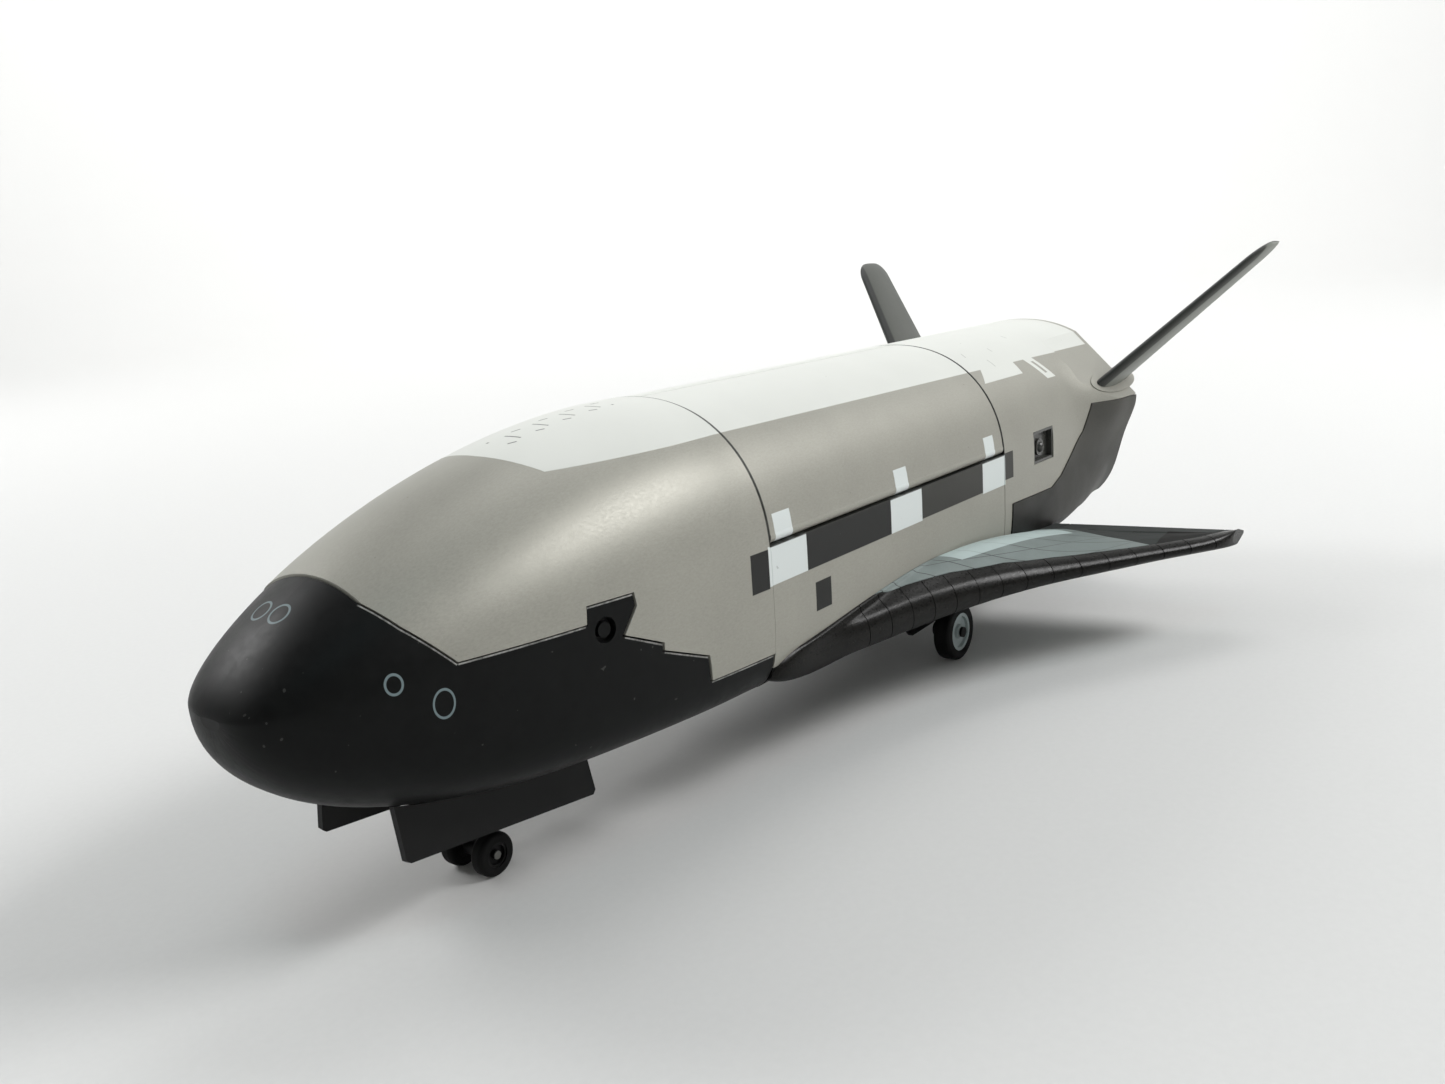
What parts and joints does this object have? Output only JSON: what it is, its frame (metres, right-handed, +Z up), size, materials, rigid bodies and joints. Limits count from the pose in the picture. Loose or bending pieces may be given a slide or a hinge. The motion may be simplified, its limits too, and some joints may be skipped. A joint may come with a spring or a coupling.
{
  "type": "spaceplane display model",
  "caption": "Display model of a small winged re-entry spaceplane with payload-bay doors, elevon flaps, all-moving V tail, folding wheeled undercarriage and a stand socket.",
  "frame": {"origin": "bottom centre of the bounding box, on the ground between the wheels", "axes": "+X towards the nose, +Y to port, +Z up"},
  "size_m": [0.128, 0.0638, 0.0402],
  "materials": {
    "shell_grey": "satin warm grey paint with a fine metallic grain",
    "heat_shield_black": "satin black",
    "wing_tile": "satin blue-grey with scribed tile lines",
    "edge_tile": "semi-gloss brown-black with a metallic sheen",
    "fairing_taupe": "satin dark taupe",
    "fin_grey": "satin green-grey",
    "gear_black": "satin black",
    "wheel_hub_grey": "flat blue-grey",
    "tyre_black": "matt black",
    "bay_white": "flat white",
    "structure_grey": "bare moulded grey plastic",
    "steel_pin": "bright drawn steel",
    "nozzle_metal": "dark gunmetal",
    "sensor_dark": "dark gloss"
  },
  "bodies": {
    "airframe": {"nose_lower_shell": "heat_shield_black", "forward_upper_shell": "shell_grey", "retaining_pin_port": "heat_shield_black", "retaining_pin_starboard": "heat_shield_black", "mid_side_panel_port": "shell_grey", "mid_side_panel_starboard": "shell_grey", "bay_frame": "structure_grey", "payload_bay_liner": "bay_white", "bay_hinge_rods": "steel_pin", "belly_heat_shield": "heat_shield_black", "aft_fuselage_shell": "shell_grey", "aft_side_fairing_port": "fairing_taupe", "aft_side_fairing_starboard": "fairing_taupe", "tail_pod_cap_port": "shell_grey", "tail_pod_cap_starboard": "shell_grey", "aft_bulkhead": "fairing_taupe", "engine_mount_ring": "nozzle_metal", "engine_nozzle": "nozzle_metal", "aft_thruster_nozzles": "nozzle_metal", "wing_port": "wing_tile", "wing_starboard": "wing_tile", "wing_leading_edge_port": "edge_tile", "wing_leading_edge_starboard": "edge_tile", "flaperon_hinge_pins": "steel_pin", "nose_gear_bay": "structure_grey", "main_gear_bay_port": "structure_grey", "main_gear_bay_starboard": "structure_grey", "nose_gear_door_port": "gear_black", "nose_gear_door_starboard": "gear_black", "main_gear_door_port": "gear_black", "main_gear_door_starboard": "gear_black", "gear_pivot_pins": "steel_pin", "star_tracker_housing": "sensor_dark", "star_tracker_lens": "sensor_dark", "stand_socket": "heat_shield_black", "belly_screws": "steel_pin", "body_flap_hinge_pin": "steel_pin"},
    "bay_door_port": {"bay_door_port": "shell_grey"},
    "bay_door_starboard": {"bay_door_starboard": "shell_grey"},
    "flaperon_port": {"flaperon_port": "wing_tile"},
    "flaperon_starboard": {"flaperon_starboard": "wing_tile"},
    "ruddervator_port": {"ruddervator_port": "fin_grey", "ruddervator_spindle_port": "steel_pin"},
    "ruddervator_starboard": {"ruddervator_starboard": "fin_grey", "ruddervator_spindle_starboard": "steel_pin"},
    "body_flap": {"body_flap": "heat_shield_black"},
    "nose_gear_leg": {"nose_gear_leg": "gear_black"},
    "nose_wheels": {"nose_wheel_axle": "steel_pin", "nose_wheel_tyres": "tyre_black", "nose_wheel_hubs": "gear_black"},
    "main_gear_leg_port": {"main_gear_leg_port": "gear_black", "main_axle_port": "gear_black"},
    "main_gear_leg_starboard": {"main_gear_leg_starboard": "gear_black", "main_axle_starboard": "gear_black"},
    "main_wheel_port": {"main_tyre_port": "tyre_black", "main_hub_port": "wheel_hub_grey"},
    "main_wheel_starboard": {"main_tyre_starboard": "tyre_black", "main_hub_starboard": "wheel_hub_grey"}
  },
  "joints": [
    {"name": "bay_door_hinge_port", "type": "hinge", "parent": "airframe", "child": "bay_door_port", "pos_m": [0.0023, 0.01219, 0.0216], "axis": [-1, 0, 0], "range_deg": [0, 95]},
    {"name": "bay_door_hinge_starboard", "type": "hinge", "parent": "airframe", "child": "bay_door_starboard", "pos_m": [0.0023, -0.01219, 0.0216], "axis": [1, 0, 0], "range_deg": [0, 95]},
    {"name": "flaperon_hinge_port", "type": "hinge", "parent": "airframe", "child": "flaperon_port", "pos_m": [-0.02796, 0.014, 0.01042], "axis": [-0.3282, 0.9445, -0.013], "range_deg": [-25, 25]},
    {"name": "flaperon_hinge_starboard", "type": "hinge", "parent": "airframe", "child": "flaperon_starboard", "pos_m": [-0.02796, -0.014, 0.01042], "axis": [0.3282, 0.9445, 0.013], "range_deg": [-25, 25]},
    {"name": "ruddervator_pivot_port", "type": "hinge", "parent": "airframe", "child": "ruddervator_port", "pos_m": [-0.0486, 0.013, 0.025], "axis": [0, 0.7071, 0.7071], "range_deg": [-20, 20]},
    {"name": "ruddervator_pivot_starboard", "type": "hinge", "parent": "airframe", "child": "ruddervator_starboard", "pos_m": [-0.0486, -0.013, 0.025], "axis": [0, 0.7071, -0.7071], "range_deg": [-20, 20]},
    {"name": "body_flap_hinge", "type": "hinge", "parent": "airframe", "child": "body_flap", "pos_m": [-0.053, 0, 0.0095], "axis": [0, 1, 0], "range_deg": [-20, 15]},
    {"name": "nose_leg_fold", "type": "hinge", "parent": "airframe", "child": "nose_gear_leg", "pos_m": [0.04065, 0, 0.0116], "axis": [0, -1, 0], "range_deg": [0, 60]},
    {"name": "nose_wheel_spin", "type": "hinge", "parent": "nose_gear_leg", "child": "nose_wheels", "pos_m": [0.04535, 0, 0.0017], "axis": [0, 1, 0], "continuous": true},
    {"name": "main_leg_fold_port", "type": "hinge", "parent": "airframe", "child": "main_gear_leg_port", "pos_m": [-0.01155, 0.00795, 0.0112], "axis": [0, 1, 0], "range_deg": [0, 80]},
    {"name": "main_wheel_spin_port", "type": "hinge", "parent": "main_gear_leg_port", "child": "main_wheel_port", "pos_m": [-0.01285, 0.0095, 0.003], "axis": [0, 1, 0], "continuous": true},
    {"name": "main_leg_fold_starboard", "type": "hinge", "parent": "airframe", "child": "main_gear_leg_starboard", "pos_m": [-0.01155, -0.00795, 0.0112], "axis": [0, 1, 0], "range_deg": [0, 80]},
    {"name": "main_wheel_spin_starboard", "type": "hinge", "parent": "main_gear_leg_starboard", "child": "main_wheel_starboard", "pos_m": [-0.01285, -0.0095, 0.003], "axis": [0, 1, 0], "continuous": true}
  ]
}
